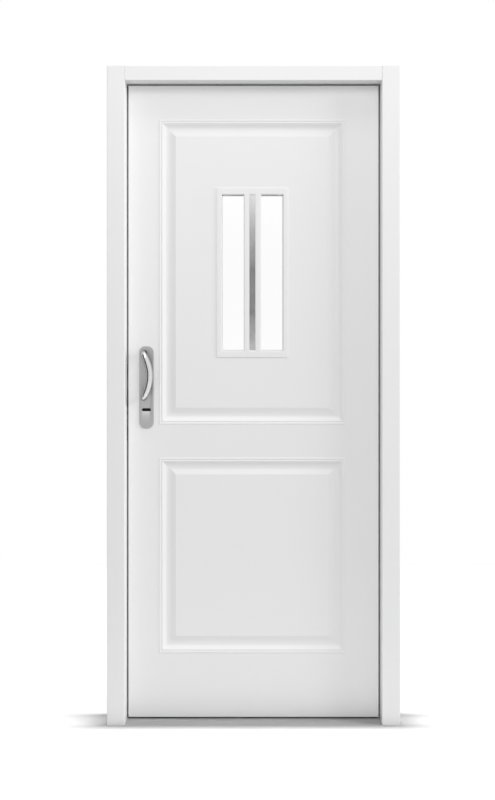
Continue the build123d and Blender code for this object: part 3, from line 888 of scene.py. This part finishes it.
# name, place, aim, width and height in metres
LAMPS = (
    ("front", (0, -3600, 3400), DOOR_MIDDLE, 2.4, 1.8),
    ("top", (0, -2000, 6500), DOOR_MIDDLE, 1.6, 1.2),
    ("near_side", (3200, -300, 1700), DOOR_MIDDLE, 0.4, 1.4),
    ("far_side", (7000, -2000, 3500), DOOR_MIDDLE, 1.5, 1.6),
    ("overhead", (0, 150, 14000), (0, 150, 0), 1.15, 0.26),
)
# name, place, aim, then width, height and fade in metres
CARDS = (
    ("left_card", (-1300, -700, 1100), (-300, -700, 1100), 1.5, 3.0, 0.1),
    ("back_card", (0, -6000, 1540), (0, 0, 1540), 0.9, 1.6, 0.5),
)
CAMERA_SHIFT = (-0.0075, -0.1025)


def area_light(name, place, aim, width, height, watts):
    """A soft light of a size in metres."""
    light = bpy.data.lights.new(name, "AREA")
    light.shape, light.size, light.size_y, light.energy = "RECTANGLE", width, height, watts
    lamp = bpy.data.objects.new(name, light)
    lamp.location = place
    lamp.rotation_euler = (Vector(aim) - Vector(place)).to_track_quat("-Z", "Y").to_euler()
    bpy.context.scene.collection.objects.link(lamp)
    return lamp


def card(name, place, aim, width, height, fade):
    """A dark card that only reflections see. It fades toward its upper and lower edge."""
    finish = Finish(name, CARD_GREY, 1.0)
    up = finish.value("ShaderNodeSeparateXYZ", {}, {0: finish.place}, "Y")
    finish.set("Alpha", ((height / 2 - abs(up)) * (1 / fade)).clamped())
    mesh = bpy.data.meshes.new(name)
    w, h = width / 2, height / 2
    mesh.from_pydata([(-w, -h, 0), (w, -h, 0), (w, h, 0), (-w, h, 0)], [], [(0, 1, 2, 3)])
    mesh.materials.append(finish.material)
    made = bpy.data.objects.new(name, mesh)
    made.location = place
    made.rotation_euler = (Vector(aim) - Vector(place)).to_track_quat("Z", "Y").to_euler()
    made.visible_camera = made.visible_diffuse = made.visible_shadow = False
    made.visible_transmission = made.visible_volume_scatter = False
    bpy.context.scene.collection.objects.link(made)


def floor_plane(settings):
    """A pale floor that keeps the shadows and throws back less light than it shows, with a painted
    pool of paler bounce near the door's foot.
    """
    finish = Finish("floor", WHITE, 0.9, specular_ior_level=0.0)
    distance = finish.value("ShaderNodeVectorMath", {"operation": "DISTANCE"},
                            {0: finish.place, 1: at(*FOOT_SPOT)}, "Value")
    # painted light: within FOOT_REACH of the door's foot the floor throws back a paler grey, a
    # pool of extra light on the door's foot
    near = ((FOOT_REACH - distance) * (1 / (FOOT_REACH - FOOT_FULL))).clamped()
    shown, thrown, foot = (shade(WHITE, grey)
                           for grey in (settings.floor, settings.bounce, settings.foot_bounce))
    finish.set("Base Color", finish.mixed(finish.seen(), finish.mixed(near, thrown, foot), shown))
    mesh = bpy.data.meshes.new("floor")
    mesh.from_pydata([at(sx * FLOOR_HALF, sy * FLOOR_HALF, 0)
                      for sx, sy in ((-1, -1), (1, -1), (1, 1), (-1, 1))], [], [(0, 1, 2, 3)])
    mesh.materials.append(finish.material)
    floor = bpy.data.objects.new("floor", mesh)
    bpy.context.scene.collection.objects.link(floor)
    return floor


def studio(settings):
    """A world that is plain white where it is seen and soft where it lights."""
    world = bpy.data.worlds.new("studio")
    world.use_nodes = True
    nodes = Nodes(world.node_tree)
    background = nodes.tree.nodes["Background"]
    nodes.join(background.inputs["Color"], rgba(WHITE))
    nodes.join(background.inputs["Strength"],
               nodes.seen() * (1 - settings.ambient) + settings.ambient)
    bpy.context.scene.world = world


class DOOR_OT_set_stage(bpy.types.Operator):
    """Makes the floor, the light and the camera"""

    bl_idname = "door.set_stage"
    bl_label = "Stage"

    def execute(self, context):
        scene, settings = context.scene, context.scene.door_stage
        scene.view_settings.view_transform = "Standard"
        ground = floor_plane(settings)
        studio(settings)
        lamps = {}
        for name, place, aim, width, height in LAMPS:
            lamps[name] = area_light(name, at(*place), at(*aim), width, height,
                                     getattr(settings, name))
        for name in ("near_side", "far_side"):
            lamps[name].visible_glossy = False
        lit = bpy.data.collections.new("lit_from_overhead")
        lit.objects.link(ground)
        lamps["overhead"].light_linking.receiver_collection = lit
        for name, place, aim, width, height, fade in CARDS:
            card(name, at(*place), at(*aim), width, height, fade)

        lens = bpy.data.cameras.new("camera")
        lens.lens = settings.lens
        lens.shift_x, lens.shift_y = CAMERA_SHIFT
        camera = bpy.data.objects.new("camera", lens)
        camera.location = at(0, -settings.distance / MM, settings.eye / MM)
        camera.rotation_euler = (math.pi / 2, 0, 0)
        scene.collection.objects.link(camera)
        scene.camera = camera
        return {"FINISHED"}


OPERATORS = (
    DOOR_OT_mix_finishes, DOOR_OT_coat_frame, DOOR_OT_press_skins, DOOR_OT_glaze_window,
    DOOR_OT_fit_handles, DOOR_OT_fit_lock, DOOR_OT_hang_hinges, DOOR_OT_fit_seals,
    DOOR_OT_set_stage,
)
SETTINGS = {
    "door_finish": DoorFinishSettings, "door_leaf": DoorLeafSettings,
    "door_fittings": DoorFittingSettings, "door_stage": DoorStageSettings,
}


class DOOR_PT_pieces(bpy.types.Panel):
    """The door's pieces and settings"""

    bl_idname = "DOOR_PT_pieces"
    bl_label = "Sheet Metal Door"
    bl_space_type = "VIEW_3D"
    bl_region_type = "UI"
    bl_category = "Door"

    def draw(self, context):
        for operator in OPERATORS:
            self.layout.operator(operator.bl_idname)
        for name, group in SETTINGS.items():
            box = self.layout.box()
            for prop in group.__annotations__:
                box.prop(getattr(context.scene, name), prop)


def register():
    """Registers the settings, the operators and the panel."""
    for group in SETTINGS.values():
        bpy.utils.register_class(group)
    for name, group in SETTINGS.items():
        setattr(bpy.types.Scene, name, PointerProperty(type=group))
    for operator in OPERATORS:
        bpy.utils.register_class(operator)
    bpy.utils.register_class(DOOR_PT_pieces)


def unregister():
    """Takes all of them away again."""
    bpy.utils.unregister_class(DOOR_PT_pieces)
    for operator in reversed(OPERATORS):
        bpy.utils.unregister_class(operator)
    for name, group in SETTINGS.items():
        delattr(bpy.types.Scene, name)
        bpy.utils.unregister_class(group)


def main():
    """Dresses the door."""
    register()
    for operator in OPERATORS:
        group, name = operator.bl_idname.split(".")
        getattr(getattr(bpy.ops, group), name)()


if __name__ == "__main__":
    main()
